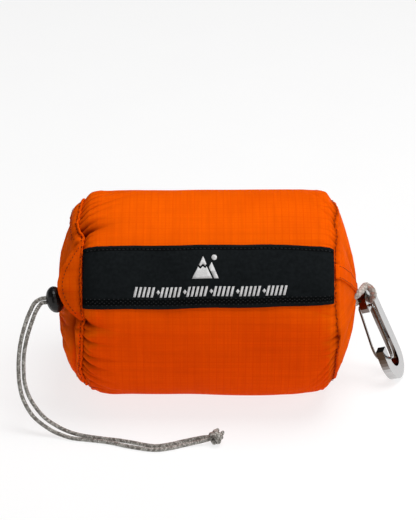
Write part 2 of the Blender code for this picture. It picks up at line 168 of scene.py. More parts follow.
def studio():
    world = bpy.data.worlds.new("studio")
    world.use_nodes = True
    tree = world.node_tree
    split = tree.nodes.new("ShaderNodeSeparateXYZ")
    tree.links.new(tree.nodes.new("ShaderNodeTexCoord").outputs["Generated"], split.inputs[0])
    tilt = tree.nodes.new("ShaderNodeMath")
    tilt.operation = "MULTIPLY_ADD"
    tilt.inputs[1].default_value = 0.55
    tree.links.new(split.outputs[1], tilt.inputs[0])
    tree.links.new(split.outputs[2], tilt.inputs[2])
    ramp = tree.nodes.new("ShaderNodeMapRange")
    ramp.interpolation_type = "SMOOTHSTEP"
    for k, value in enumerate((-0.1, 0.8, SKY[0], SKY[1]), 1):
        ramp.inputs[k].default_value = value
    tree.links.new(tilt.outputs[0], ramp.inputs[0])
    tree.links.new(ramp.outputs[0], tree.nodes["Background"].inputs[1])
    bpy.context.scene.world = world
    area_light("key_top", (0.35, 0.0, 1.4), (0, 0, 0.06), (0.9, 0.9), KEY)
    area_light("side_right", (1.45, -0.5, 0.7), (0.06, 0, 0.06), (0.6, 0.6), SIDE)
    area_light("fill_front", (0.5, -1.7, 0.9), (0, 0, 0.06), (0.9, 0.7), FILL, (1.0, 0.87, 0.84))
    area_light("side_left", (-1.5, -0.9, 0.45), (-0.09, 0, 0.06), (0.8, 0.8), LEFT)
    bpy.context.scene.view_settings.view_transform = "Standard"


# Materials -------------

class Finish:
    """A procedural material: short calls that add a node and return its first output."""

    def __init__(self, name, roughness, metallic=0.0, **sockets):
        self.mat = bpy.data.materials.new(name)
        self.mat.use_nodes = True
        self.tree = self.mat.node_tree
        self.shader = self.tree.nodes["Principled BSDF"]
        self.shader.inputs["Roughness"].default_value = roughness
        self.shader.inputs["Metallic"].default_value = metallic
        for key, value in sockets.items():
            self.shader.inputs[key.replace("_", " ")].default_value = value

    def put(self, socket, value):
        if isinstance(value, bpy.types.NodeSocket):
            self.tree.links.new(value, socket)
        else:
            socket.default_value = value

    def add(self, kind, inputs, out=0, **props):
        made = self.tree.nodes.new("ShaderNode" + kind)
        for key, value in props.items():
            setattr(made, key, value)
        for key, value in inputs.items():
            self.put(made.inputs[key], value)
        return made.outputs[out]

    def math(self, operation, a, b=0.0, clamp=False):
        return self.add("Math", {0: a, 1: b}, operation=operation, use_clamp=clamp)

    def times(self, a, b, clamp=False):
        return self.math("MULTIPLY", a, b, clamp)

    def plus(self, a, b, clamp=False):
        return self.math("ADD", a, b, clamp)

    def lay(self):
        """The weave's own coordinates in millimetres, along and across."""
        split = self.tree.nodes.new("ShaderNodeSeparateXYZ")
        self.tree.links.new(self.add("UVMap", {}, uv_map="weave"), split.inputs[0])
        return split.outputs[0], split.outputs[1]

    def place(self, scale):
        """Object coordinates, stretched."""
        where = self.add("TexCoord", {}, out=3)
        return self.add("VectorMath", {0: where, 1: scale}, operation="MULTIPLY")

    def noise(self, scale, stretch=(1, 1, 1), detail=3.0):
        return self.add("TexNoise", {"Vector": self.place(stretch), "Scale": scale, "Detail": detail})

    def near(self, value, at, reach):
        """1 where the value is at this place, falling to 0 at its reach."""
        far = self.math("DIVIDE", self.math("ABSOLUTE", self.math("SUBTRACT", value, at)), reach)
        return self.math("SUBTRACT", 1.0, self.math("POWER", far, 3.0), clamp=True)

    def line(self, value, pitch, width):
        """1 on thin lines at the given pitch, falling to 0 beside them."""
        saw = self.math("PINGPONG", value, pitch / 2)
        return self.math("SUBTRACT", 1.0, self.math("DIVIDE", saw, width, clamp=True), clamp=True)

    def blend(self, factor, a, b):
        a, b = ((*c, 1.0) if isinstance(c, tuple) else c for c in (a, b))
        return self.add("Mix", {0: factor, 6: a, 7: b}, out=2, data_type="RGBA")

    def colour(self, value):
        self.put(self.shader.inputs["Base Color"], value)

    def bump(self, height, distance, strength=1.0):
        made = self.add("Bump", {"Height": height, "Distance": distance * MM, "Strength": strength})
        self.put(self.shader.inputs["Normal"], made)

    def roughness(self, low, high, value):
        made = self.add("MapRange", {0: value, 1: 0.3, 2: 0.7, 3: low, 4: high})
        self.put(self.shader.inputs["Roughness"], made)


def srgb(*values):
    out = []
    for v in values:
        v /= 255.0
        out.append(v / 12.92 if v < 0.04045 else ((v + 0.055) / 1.055) ** 2.4)
    return tuple(out)


def ripstop():
    """Thin nylon: fine threads and a doubled one every 4.7 mm each way; painted shade darkens it in creases
    and pockets, and a painted light and shade tint makes it redder where it faces down and more orange where
    it faces up.
    """
    m = Finish("orange_ripstop", 0.5, Specular_IOR_Level=0.1, IOR=1.05)
    u, v = m.lay()
    rip = 4.7
    main = m.math("MAXIMUM", m.line(u, rip, 0.42), m.line(v, rip, 0.42))
    half = m.math("MAXIMUM", m.line(u, rip / 2, 0.3), m.line(v, rip / 2, 0.3))
    fine = m.times(m.line(u, 0.47, 0.23), m.line(v, 0.47, 0.23))
    slub_u = m.noise(22.0, (1.0, 1.0, 14.0), 2.0)
    slub_v = m.noise(22.0, (16.0, 1.0, 1.0), 2.0)
    slub = m.times(m.plus(slub_u, slub_v), 0.5)
    cloud = m.noise(26.0, detail=4.0)
    deep, bright = (0.66, 0.058, 0.0008), (0.95, 0.12, 0.001)
    tone = m.plus(m.times(slub, 0.9), m.times(cloud, 0.5))
    base = m.blend(m.math("SUBTRACT", tone, 0.1, clamp=True), deep, bright)
    lines = m.plus(m.times(main, 0.22), m.times(half, 0.13), clamp=True)
    patchy = m.times(slub, m.times(m.noise(9.0, detail=2.0), 3.2))
    base = m.blend(m.times(lines, patchy), base, (0.72, 0.03, 0.0005))
    # Painted shade: the attribute read here darkens the cloth towards deep brown in creases, pockets, under
    # the flap and towards the bottom.
    painted_shade = m.add("Attribute", {}, out=2, attribute_name="painted_shade")
    base = m.blend(m.times(painted_shade, 0.85, clamp=True), base, (0.13, 0.0045, 0.0002))
    # Painted light and shade: a tint that is a little more orange where the cloth faces up or along the axis,
    # and redder where it faces down.
    facing = m.add("TexCoord", {}, out=1)
    end = m.math("ABSOLUTE", m.add("SeparateXYZ", {0: facing}, out=0))
    up = m.plus(end, m.add("SeparateXYZ", {0: facing}, out=2))
    below = m.add("MapRange", {0: up, 1: 0.6, 2: 0.05, 3: 0.0, 4: 1.0})
    painted_light_and_shade_tint = m.blend(below, (0.97, 1.05, 1.0), (1.03, 0.77, 1.0))
    m.colour(m.add("VectorMath", {0: base, 1: painted_light_and_shade_tint}, operation="MULTIPLY"))
    height = m.plus(m.times(main, 0.38), m.times(half, 0.25))
    height = m.plus(height, m.times(fine, 0.35))
    m.bump(m.plus(height, m.times(slub, 0.8)), 0.12, 0.6)
    m.roughness(0.44, 0.6, cloud)
    return m.mat


def tape():
    m = Finish("black_label_tape", 0.8, Specular_IOR_Level=0.3, IOR=1.08)
    u, v = m.lay()
    weft = m.line(u, 0.62, 0.3)
    warp = m.line(m.plus(v, m.times(weft, 0.3)), 0.8, 0.38)
    fuzz = m.noise(420.0, detail=4.0)
    cloud = m.noise(30.0, detail=3.0)
    tone = m.plus(m.times(fuzz, 0.7), m.times(cloud, 0.4))
    base = m.blend(m.math("SUBTRACT", tone, 0.2, clamp=True), srgb(12, 15, 16), srgb(34, 38, 40))
    # Painted shade: the tape is darkened in the grooves along the rows of stitches.
    stitch_groove_shade = m.math("MAXIMUM", m.near(v, 17.5, 1.1), m.near(v, -15.7, 2.4))
    m.colour(m.blend(m.times(stitch_groove_shade, 0.8), base, srgb(5, 6, 6)))
    weave = m.plus(m.times(warp, 0.7), m.times(weft, 0.6))
    m.bump(m.plus(weave, fuzz), 0.12, 0.6)
    return m.mat


def webbing():
    """The base strap: the same orange cloth, folded and woven closer."""
    m = Finish("orange_strap", 0.55, Specular_IOR_Level=0.1, IOR=1.05)
    u, v = m.lay()
    rib = m.line(u, 1.1, 0.5)
    fuzz = m.noise(150.0, detail=3.0)
    tone = m.times(m.plus(rib, fuzz), 0.5)
    m.colour(m.blend(tone, (0.68, 0.062, 0.0008), (0.93, 0.118, 0.001)))
    m.bump(m.plus(rib, m.line(v, 0.55, 0.25)), 0.12, 0.6)
    return m.mat


def thread(name, dark, light):
    m = Finish(name, 0.7, Specular_IOR_Level=0.15)
    twist = m.noise(900.0, (1.0, 1.0, 1.0), 2.0)
    m.colour(m.blend(twist, dark, light))
    m.bump(twist, 0.1, 0.5)
    return m.mat


def braid(name, tones, fleck, pitch, turns, fleck_share):
    """Braided cord: diamonds of crossing strands, each with its own tone, some of them flecked."""
    m = Finish(name, 0.7, Sheen_Weight=0.1, Specular_IOR_Level=0.25)
    u, v = m.lay()
    run = m.math("DIVIDE", u, pitch)
    lap = m.times(v, turns)
    one, two = m.plus(run, lap), m.math("SUBTRACT", run, lap)
    cell = m.add("CombineXYZ", {0: m.math("FLOOR", one), 1: m.math("FLOOR", two), 2: 0.0})
    tone = m.add("TexWhiteNoise", {"Vector": cell}, noise_dimensions="3D")
    gap = m.math("MAXIMUM", m.line(one, 1.0, 0.2), m.line(two, 1.0, 0.2))
    fuzz = m.noise(700.0, detail=2.0)
    mottle = m.plus(m.times(tone, 0.7), m.times(fuzz, 0.35), clamp=True)
    base = m.blend(mottle, *tones)
    flecked = m.math("GREATER_THAN", tone, fleck_share)
    base = m.blend(m.times(flecked, 0.75), base, fleck)
    # Painted shade: the gaps between the crossing strands are darkened.
    m.colour(m.blend(m.times(gap, 0.55), base, tuple(0.3 * t for t in tones[0])))
    m.bump(m.plus(fuzz, m.times(gap, -0.8)), 0.12, 0.6)
    return m.mat


def satin_plastic():
    m = Finish("black_moulded", 0.34, Specular_IOR_Level=0.3)
    grain = m.noise(900.0, detail=3.0)
    wear = m.noise(120.0, detail=4.0)
    m.colour(m.blend(wear, (0.002, 0.002, 0.002), (0.007, 0.0065, 0.006)))
    m.bump(grain, 0.02, 0.5)
    m.roughness(0.26, 0.42, wear)
    return m.mat


def chrome(name, tint, bright=()):
    """Polished metal: faces that point along the bright directions keep the steel's colour, and the rest get
    a painted dark brown reflection.
    """
    m = Finish(name, 0.1, 1.0)
    swirl = m.noise(60.0, detail=5.0)
    scratch = m.noise(900.0, (1.0, 1.0, 0.06), 3.0)
    steel_and_reflection = m.blend(swirl, tuple(0.86 * t for t in tint), tint)
    if bright:
        facing = m.add("TexCoord", {}, out=1)
        share = 0.0
        for direction in bright:
            near = m.add("VectorMath", {0: facing, 1: direction}, out=1, operation="DOT_PRODUCT")
            share = m.math("MAXIMUM", share, near)
        span = {0: share, 1: 0.55, 2: 0.85, 3: 0.0, 4: 1.0}
        share = m.add("MapRange", span, interpolation_type="SMOOTHSTEP")
        # Painted reflection: faces away from the bright directions are coloured dark brown, standing for a
        # reflection of the orange sack and a dark room.
        steel_and_reflection = m.blend(share, m.blend(swirl, (0.02, 0.015, 0.012), (0.13, 0.07, 0.035)), steel_and_reflection)
    m.colour(steel_and_reflection)
    m.bump(scratch, 0.006, 0.4)
    m.roughness(0.07, 0.17, swirl)
    return m.mat


def print_ink():
    m = Finish("white_print", 0.6)
    speck = m.noise(1300.0, detail=3.0)
    worn = m.math("SUBTRACT", m.times(speck, 1.6), 0.25, clamp=True)
    m.colour(m.blend(worn, srgb(178, 180, 181), srgb(226, 226, 226)))
    m.bump(speck, 0.08, 0.5)
    return m.mat


def inner_cloth():
    m = Finish("hammock_cloth", 0.6, Sheen_Weight=0.3)
    crumple = m.noise(60.0, detail=5.0)
    m.colour(m.blend(crumple, (0.5, 0.06, 0.002), (0.78, 0.12, 0.004)))
    m.bump(crumple, 1.0, 0.6)
    return m.mat


def paper():
    m = Finish("pale_floor", 0.9, Specular_IOR_Level=0.1, Emission_Strength=0.78)
    m.shader.inputs["Emission Color"].default_value = (1, 1, 1, 1)
    grain = m.noise(14.0, detail=3.0)
    m.colour(m.blend(grain, (0.21, 0.21, 0.21), (0.23, 0.23, 0.23)))
    return m.mat


# Shapes ----------------

def unit(value):
    return np.clip(value, 0, 1)


def bell(off, width):
    return np.exp(-(off / width) ** 2)


def crossed(rows, cols):
    return np.meshgrid(rows, cols, indexing="ij")


def link(name, mesh, mat):
    for face in mesh.polygons:
        face.use_smooth = True
    mesh.materials.append(mat)
    obj = bpy.data.objects.new(name, mesh)
    bpy.context.scene.collection.objects.link(obj)
    return obj


def from_bmesh(name, bm, mat):
    mesh = bpy.data.meshes.new(name)
    bm.to_mesh(mesh)
    bm.free()
    return link(name, mesh, mat)


def thicken(obj, thickness, offset):
    thick = obj.modifiers.new("thick", "SOLIDIFY")
    thick.thickness = thickness * MM
    thick.offset = offset


def mark_painted_shade(mesh, painted_shade):
    """Painted shade at each point, from 0 to 1: deepest in creases, pockets and under the flap, where less
    light reaches.
    """
    values = unit(painted_shade).astype(np.float32).ravel()
    mesh.attributes.new("painted_shade", "FLOAT", "POINT").data.foreach_set("value", values)


def grid(name, points, lay, mat, wrap=False, painted_shade=None):
    """A sheet through rows of points in millimetres, with the weave's coordinates at each.

    wrap joins its sides, and the last argument is the painted shade at each point.
    """
    rows, cols = points.shape[:2]
    span = cols if wrap else cols - 1
    verts = points.reshape(-1, 3) * MM
    i, j = crossed(np.arange(rows - 1), np.arange(span))
    k = (j + 1) % cols
    quads = np.stack([i * cols + j, i * cols + k, (i + 1) * cols + k, (i + 1) * cols + j], -1).reshape(-1, 4)
    mesh = bpy.data.meshes.new(name)
    mesh.vertices.add(len(verts))
    mesh.vertices.foreach_set("co", verts.astype(np.float32).ravel())
    mesh.loops.add(quads.size)
    mesh.loops.foreach_set("vertex_index", quads.ravel().astype(np.int32))
    mesh.polygons.add(len(quads))
    mesh.polygons.foreach_set("loop_start", np.arange(0, quads.size, 4, dtype=np.int32))
    mesh.update(calc_edges=True)
    if wrap:
        girth = lay[0, -1, 1] + lay[0, 1, 1] - 2 * lay[0, 0, 1]
        lay = np.concatenate([lay, lay[:, :1] + [[(0.0, girth)]]], 1)
    corners = np.stack([lay[i, j], lay[i, j + 1], lay[i + 1, j + 1], lay[i + 1, j]], 2).reshape(-1, 2)
    mesh.uv_layers.new(name="weave").data.foreach_set("uv", corners.astype(np.float32).ravel())
    if painted_shade is not None:
        mark_painted_shade(mesh, painted_shade)
    mesh.validate()
    return link(name, mesh, mat)


def curve_at(table, x, col=1):
    return np.interp(x, table[:, 0], table[:, col])


def along_outline(table, share):
    """Distance, x and radius at this share of an outline's length."""
    far = np.concatenate([[0], np.cumsum(np.hypot(*np.diff(table, axis=0).T))])
    s = share * far[-1]
    return s, np.interp(s, far, table[:, 0]), np.interp(s, far, table[:, 1])


def distances(points):
    """The distance along a run of points to each of them."""
    return np.concatenate([[0], np.cumsum(np.linalg.norm(np.diff(points, axis=0), axis=1))])


def spline(points, steps):
    """A smooth run of points through the given ones."""
    pts = [Vector(p) for p in points]
    pts = [pts[0] * 2 - pts[1], *pts, pts[-1] * 2 - pts[-2]]
    run = []
    for a, b, c, d in zip(pts, pts[1:], pts[2:], pts[3:]):
        for i in range(steps):
            t = i / steps
            run.append(0.5 * (2 * b + (c - a) * t + (2 * a - 5 * b + 4 * c - d) * t * t
                              + (3 * b - a - 3 * c + d) * t ** 3))
    run.append(pts[-2])
    return run


def even(points, spacing):
    """The same run at an even spacing."""
    pts = np.array([tuple(p) for p in points])
    far = distances(pts)
    want = np.linspace(0, far[-1], max(2, round(far[-1] / spacing)) + 1)
    return np.stack([np.interp(want, far, pts[:, k]) for k in range(3)], 1)


def on_sack(x, r, angle):
    """Points at radius r round the sack's axis, pressed flat where it rests on the floor."""
    a = np.radians(angle)
    pressed = (R_SACK - AXIS_Z) * (r / R_SACK) ** 2
    z = np.maximum(AXIS_Z + r * np.sin(a), AXIS_Z - r + pressed + 0.15)
    return np.stack([x + 0 * a, -r * np.cos(a), z], -1)


def apart(angle, other):
    return (angle - other + 180.0) % 360.0 - 180.0


def valleys(angle, run, folds, radius, narrow=1.0, short=1.0):
    """Creases that run away from a seam: each has an angle, depth, width, reach and drift."""
    depth = np.zeros(np.broadcast(angle, run).shape)
    for at, deep, wide, reach, drift in folds:
        off = np.abs(apart(angle, at + drift * run)) * math.pi / 180 * radius
        spread = narrow * wide * (1 + 0.9 * run / reach)
        depth -= deep * np.exp(-(off / spread) ** 1.2) * np.exp(-(run / (short * reach)) ** 1.25)
    return depth


def scatter(seed, count, deep, wide, reach, drift, keep_off=()):
    """Creases spaced unevenly round a seam, away from the keep_off angles."""
    rng = np.random.default_rng(seed)
    rows = []
    for i in range(count):
        at = 360.0 * (i + rng.uniform(-0.38, 0.38)) / count
        row = (at, rng.uniform(*deep), rng.uniform(*wide), rng.uniform(*reach), rng.uniform(-drift, drift))
        if all(abs(apart(at, a)) > half for a, half in keep_off):
            rows.append(row)
    return rows


def lumps(x, angle, seed, size, count=9):
    """Low swells from what is packed inside, the same at 0 and 360 degrees."""
    rng = np.random.default_rng(seed)
    total = np.zeros(np.broadcast(x, angle).shape)
    for _ in range(count):
        k = rng.integers(2, 9)
        wave = rng.uniform(0.02, 0.075)
        total += (np.cos(np.radians(k * angle) + rng.uniform(0, 6.28))
                  * np.cos(wave * x + rng.uniform(0, 6.28)))
    return size * total / math.sqrt(count)


MOUTH_FOLDS = scatter(11, 58, (0.8, 2.4), (0.9, 1.7), (6, 20), 0.3, ((34, 19), (82, 24), (345, 34)))
MOUTH_FOLDS += [
    (62.5, 4.6, 2.5, 14, 0.2), (66.5, 2.2, 1.6, 12, 0.35), (71.5, 1.1, 1.3, 17, 0.5),
    (77.0, 1.7, 1.4, 19, 0.6), (83.0, 1.1, 1.3, 15, 0.4), (89.5, 1.7, 1.5, 21, 0.55),
    (97, 1.2, 1.4, 15, 0.4), (53, 0.9, 1.4, 9, 0.1), (8.0, 4.0, 2.3, 11, -0.2), (2.5, 1.4, 1.3, 8, 0.1),
    (-3.0, 2.0, 1.6, 12, -0.1), (-8.5, 1.2, 1.3, 9, -0.3), (-13.0, 1.3, 1.4, 15, -0.1),
    (-19.5, 2.6, 1.8, 12, -0.25), (-25.0, 1.7, 1.4, 9, -0.5), (-29.0, 1.1, 1.3, 16, -0.35),
    (-36, 1.8, 1.6, 13, -0.55), (-40.5, 0.9, 1.2, 7, -0.3), (-46, 1.3, 1.5, 17, -0.4)
]
BASE_FOLDS = scatter(5, 66, (0.4, 1.3), (0.7, 1.4), (3, 10), 0.3)
BASE_FOLDS += [
    (-3, 2.6, 1.7, 6, 0), (-14, 1.2, 1.4, 11, -1.3), (-21, 0.9, 1.3, 15, -1.2), (-26, 1.1, 1.4, 10, -1.5),
    (-34, 0.8, 1.3, 14, -1.4), (57, 1.2, 1.4, 7, 0.2), (70, 0.7, 1.4, 12, 1.0), (80, 0.8, 1.4, 13, 1.3)
]
HEM_WAVES = scatter(23, 34, (0.6, 2.0), (1.0, 1.9), (12, 30), 0.5)


# Where the two seams lie along the axis: angle, x
MOUTH_SEAM = np.array((
    (4, -81.3), (8.3, -80.3), (14, -81.5), (34, -82.1), (55, -81.6), (62, -80.8), (65, -83.4), (71, -85.4),
    (76, -84.9), (81, -84.4), (90, -84.0), (98, -83.7), (110, -83.2), (150, -82.5), (220, -82.6),
    (285, -82.0), (300, -81.2), (312, -80.7), (323, -83.1), (330, -83.8), (336, -83.2), (342, -82.6),
    (350, -82.0), (358, -81.8)
))
BASE_SEAM = np.array((
    (0, 83.1), (4.8, 82.4), (10, 82.1), (13.2, 81.3), (25, 81.0), (40, 81.1), (53, 81.4), (59, 82.3),
    (64, 82.9), (69, 81.7), (75, 81.4), (81, 82.8), (86, 84.0), (95, 83.2), (103, 81.9), (115, 82.0),
    (200, 82.4), (290, 82.0), (317, 81.8), (325, 81.9), (331, 82.4), (336, 82.1), (342, 82.3), (346, 82.6),
    (349, 83.4), (353, 83.6), (357, 83.6)
))


def seam_line(table, angle):
    """The table's x at this angle, going on past 360 degrees and smoothed over 3 degrees."""
    return sum(np.interp((angle + k) % 360, table[:, 0], table[:, 1], period=360) for k in NEARBY) / 5


def mouth_seam(angle):
    """The stitched line between the tube and the hem: x and radius."""
    wobble = valleys(angle, np.zeros_like(angle), MOUTH_FOLDS, 62.0)
    ripple = 0.16 * np.sin(np.radians(53 * angle)) + 0.12 * np.sin(np.radians(91 * angle + 40))
    x = seam_line(MOUTH_SEAM, angle) - 0.12 * wobble + ripple
    return x, MOUTH_SEAM_R + 0.6 * wobble - low_corner(MOUTH_X, angle)


def base_seam(angle):
    """The stitched line between the tube and the base: x and radius."""
    wobble = valleys(angle, np.zeros_like(angle), BASE_FOLDS, 61.5)
    ripple = 0.16 * np.sin(np.radians(61 * angle)) + 0.14 * np.sin(np.radians(97 * angle + 70))
    x = seam_line(BASE_SEAM, angle) - 0.1 * wobble + ripple
    return x, BASE_SEAM_R + 0.5 * wobble - low_corner(SEAM_X, angle)


def low_corner(x, angle):
    """How far the sack's ends draw in at the lower front and back, where the filling slumps away."""
    low = bell(apart(angle, 294), 34) + 0.8 * bell(apart(angle, 246), 34)
    left = unit((-64 - x) / 15) ** 1.6 - bell(x + 82, 3)
    right = unit((x - 56) / 22) ** 1.6 - 0.24 * bell(x - SEAM_X, 3)
    return low * (2.6 * left + 2.9 * right)


def within(angle, at, half, fade):
    """1 within half of this angle, 0 away from it."""
    return unit((half - np.abs(apart(angle, at))) / fade)


def under_label(x, angle):
    """1 where the label lies on the cloth, 0 away from it."""
    return within(angle, LABEL_ANGLE, math.degrees(LABEL_WIDTH / 2 / R_SACK) + 1.5, 3.0) + 0 * x


def tube_radius(x, angle):
    """The tube's radius and the painted shade at each point. It stays clear of the roll inside."""
    left, right = np.maximum(x - MOUTH_X, 0), np.maximum(SEAM_X - x, 0)
    folds = valleys(angle, left, MOUTH_FOLDS, 64.0) + valleys(angle, right, BASE_FOLDS, 64.0) * 0.8
    cores = (valleys(angle, left, MOUTH_FOLDS, 64.0, 0.42, 0.5)
             + valleys(angle, right, BASE_FOLDS, 64.0, 0.42, 0.4) * 0.7)
    slack = 1 - bell(apart(angle, 290), 40)
    puff = slack * (0.7 * bell(left - 7, 5) + 0.5 * bell(right - 6, 4))
    middle = unit(np.minimum(left, right) / 18.0)
    swell = lumps(x, angle, 3, 0.5) * middle + lumps(x * 2.2, angle, 8, 0.2) * middle
    a = np.radians(angle)
    drag = -0.6 * bell(x - 60 + 10 * np.sin(a * 3), 9) * np.maximum(0, np.sin(5 * a + x * 0.05)) ** 3
    covered = under_label(x, angle)
    r = curve_at(TUBE, x) - 0.2 - low_corner(x, angle)
    ends = np.minimum(left, right)
    # Painted shade: dark in the creases by both seams and along the seams themselves, and darker towards the
    # bottom of the tube.
    painted_shade = (0.5 * unit(-folds / 2.4) * np.exp(-ends / 14) + 1.1 * unit(-cores / 2.2)
              + 0.5 * bell(ends, 1.3) + 0.2 * unit(0.45 - np.sin(a)))
    r = r + (1.5 * folds + 0.55 * cores + puff) * (1 - 0.75 * covered) + (swell + drag) * (1 - 0.7 * covered)
    beyond = np.maximum(np.maximum(ROLL_LOW.x - x, x - ROLL_HIGH.x), 0)
    held = within(angle, 285, 40, 8)
    return r + held * np.maximum(ROLL_R + 0.8 - 1.3 * beyond - r, 0), painted_shade


def sack_skin(mat):
    angles = np.concatenate([np.arange(-75, 120, 0.5), np.arange(120, 285, 1.0)])
    spans = ((-82.3, -60, 44), (-59, 61, 84), (62, 81.6, 38))
    stations = np.concatenate([np.linspace(*span) for span in spans])
    x, a = crossed(stations, angles)
    r, painted_shade = tube_radius(x, a)
    seams = mouth_seam(angles), base_seam(angles)
    for (seam_x, seam_r), end, way, reach in zip(seams, (MOUTH_X, SEAM_X), (1, -1), (9.0, 7.0)):
        inward = way * (x - end)
        x = x + unit(1 - inward / reach) ** 2 * (seam_x[None] - end)
        r = r + unit(1 - inward / 4.0) ** 2 * (seam_r[None] - r)
    x, r = (np.concatenate([seams[0][k][None], rows, seams[1][k][None]]) for k, rows in enumerate((x, r)))
    a = np.concatenate([a[:1], a, a[:1]])
    painted_shade = np.concatenate([painted_shade[:1], painted_shade, painted_shade[-1:]])
    lay = np.stack([x, np.radians(a) * R_SACK], -1)
    return grid("sack_skin", on_sack(x, r, a), lay, mat, wrap=True, painted_shade=painted_shade)


def base_rays(angle):
    """Sharp creases that run out from the base's middle."""
    return np.abs(np.sin(np.radians(6.5 * angle) + 0.4)) ** 6


def base_point(share, angle):
    """A point of the base panel: share is 0 at its seam and 1 at the tip."""
    s, x, r = along_outline(BASE, share)
    seam_x, seam_r = base_seam(angle)
    near = unit(1 - s / 9.0) ** 1.5
    rim = bell(s - 2.4, 1.8)
    r = r - low_corner(SEAM_X, angle) * unit(r / END_R)
    folds = valleys(angle, s, BASE_FOLDS, 60.0)
    middle = np.sin(math.pi * share)
    slack = (0.9 * np.sin(np.radians(9 * angle) + 1.0) * middle
             - 1.1 * base_rays(angle) * share ** 1.5 * (1 - share) * 4
             + lumps(s * 2, angle, 31, 0.35) * middle)
    strap = unit(1.6 - np.abs(apart(angle, STRAP_ANGLE)) * math.pi / 180 * r / 6.5)
    x = (x + 0.7 * rim + near * (seam_x - BASE[0, 0])
         + (folds * 0.5 * (1 - near) + slack) * (1 - 0.8 * strap) * unit(r / 12))
    r = r + near * (seam_r + low_corner(SEAM_X, angle) - BASE[0, 1]) + 0.5 * rim
    return x, r


def base_skin(mat):
    angles = np.arange(0, 360, 1.5)
    s, a = crossed(np.linspace(0, 1, 64), angles)
    x, r = base_point(s, a)
    points = on_sack(x, r, a)
    lay = np.stack([points[..., 1], points[..., 2]], -1)
    near = s * BASE_RUN
    # Painted shade: in the creases that run out from the middle, along the seam and in the folds beside it.
    painted_shade = (0.3 * base_rays(a) * s ** 1.5 * (1 - s) * 3 + 0.4 * bell(near, 1.6)
              + unit(-valleys(a, near, BASE_FOLDS, 60.0) / 3) * np.exp(-near / 9))
    obj = grid("base_skin", points, lay, mat, wrap=True, painted_shade=painted_shade)
    flat_lay(obj)
    return obj


def flat_lay(obj):
    """Weave coordinates straight across a round panel, which is cut flat and not turned."""
    uv = obj.data.uv_layers["weave"].data
    for loop in obj.data.loops:
        co = obj.data.vertices[loop.vertex_index].co / MM
        uv[loop.index].uv = (co.y, co.z)


def hem_place(s, angle):
    """A point of the hem band: s is 0 at the mouth seam and 1 at the band's edge."""
    spread = [(angle + k) % 360 for k in (-3, -2, -1, 0, 1, 2, 3)]
    edge_x, edge_r = (sum(curve_at(HEM_EDGE, t, k) for t in spread) / 7 for k in (1, 2))
    edge_r = edge_r - low_corner(MOUTH_X, angle) * 0.9
    seam_x, seam_r = mouth_seam(angle)
    waves = valleys(angle, 12 * (1 - s), HEM_WAVES, 56.0)
    tucked = within(angle, FLAP_MIDDLE, 25.5, 4)
    bulge = np.sin(math.pi * s) * (1 - 0.9 * tucked)
    x = seam_x + (edge_x - seam_x) * s - 0.9 * bulge + 0.4 * waves * s
    r = (seam_r + (edge_r - seam_r) * s + 1.5 * bulge
         + 0.9 * waves * np.sin(math.pi * np.minimum(s + 0.15, 1) / 1.2) - 1.8 * tucked * np.sin(math.pi * s))
    return x, r


def hem_band(mat):
    """The channel that the drawcord runs in: cloth turned over and stitched, gathered on the cord."""
    angles = np.arange(0, 360, 0.75)
    flat, turned = 20, 7
    s, a = crossed(np.linspace(0, 1, flat), angles)
    x, r = hem_place(s, a)
    turn = np.linspace(0, 1, turned + 1)[1:, None]
    x = np.concatenate([x, x[-1:] - 0.9 * np.sin(turn * math.pi) + turn ** 2 * 4.5])
    r = np.concatenate([r, r[-1:] - 2.6 * np.sin(turn * math.pi / 2) + turn ** 2 * 1.2])
    a = np.concatenate([a, np.repeat(a[:1], turned, 0)])
    lay = np.stack([x, np.radians(a) * 58], -1)
    # Painted shade: under the flap, along the mouth seam, in the creases, in the pocket beside the lock and
    # on the turned-in edge.
    under_flap = within(a, FLAP_MIDDLE, 27, 5)
    edge = bell(np.minimum(np.arange(flat + turned), flat - 1)[:, None], 1.8)
    waves = unit(-valleys(a, np.abs(x - x[flat - 1:flat]), HEM_WAVES, 56.0) / 2.6)
    inward = np.linspace(0, 1, flat + turned)[:, None]
    pocket = bell(apart(a, 6), 4.5) * inward ** 0.5
    painted_shade = 0.75 * under_flap + 0.3 * edge + 0.8 * waves + 0.8 * pocket + inward ** 8 * 0.8
    return grid("hem_band", on_sack(x, r, a), lay, mat, wrap=True, painted_shade=painted_shade)


def flap_place(s, angle):
    """A point of the flap: s is 0 at the mouth seam and 1 at the flap's edge."""
    seam_x, seam_r = mouth_seam(angle)
    tip = sum(curve_at(FLAP_EDGE, angle + k) for k in NEARBY) / 5
    ends = unit(np.minimum(angle - FLAP_START, FLAP_END - angle) / 6)
    lift = np.sin(math.pi * np.minimum(s * 1.1, 1))
    crease = 0.35 * np.sin(angle * 0.42 + 1.1) * s + 0.22 * np.sin(angle * 0.95) * s ** 2
    x = seam_x - 0.2 + (tip - seam_x) * s
    r = 62.2 + 0.9 * ends * lift - 1.3 * (1 - ends) - 0.5 * s ** 2 + crease * ends
    return x, np.maximum(r, seam_r + 0.5)


def mouth_flap(mat):
    """The flap of hem over the cord's way out."""
    s, a = crossed(np.linspace(0, 1, 22), np.linspace(8.4, 58.0, 110))
    x, r = flap_place(s, a)
    # Painted shade: the whole flap is a little darker, most at its root by the seam, in soft bands across it.
    painted_shade = 0.35 + 0.5 * bell(s, 0.12) + 0.1 * np.sin(a * 0.42 + 4.2) * s
    obj = grid("hem_flap", on_sack(x, r, a), np.stack([x, np.radians(a) * 62], -1), mat, painted_shade=painted_shade)
    thicken(obj, FLAP_THICK, -1.0)
    edge = obj.modifiers.new("edge", "BEVEL")
    edge.width = 0.5 * MM
    edge.segments = 2
    edge.angle_limit = math.radians(50)
    return obj


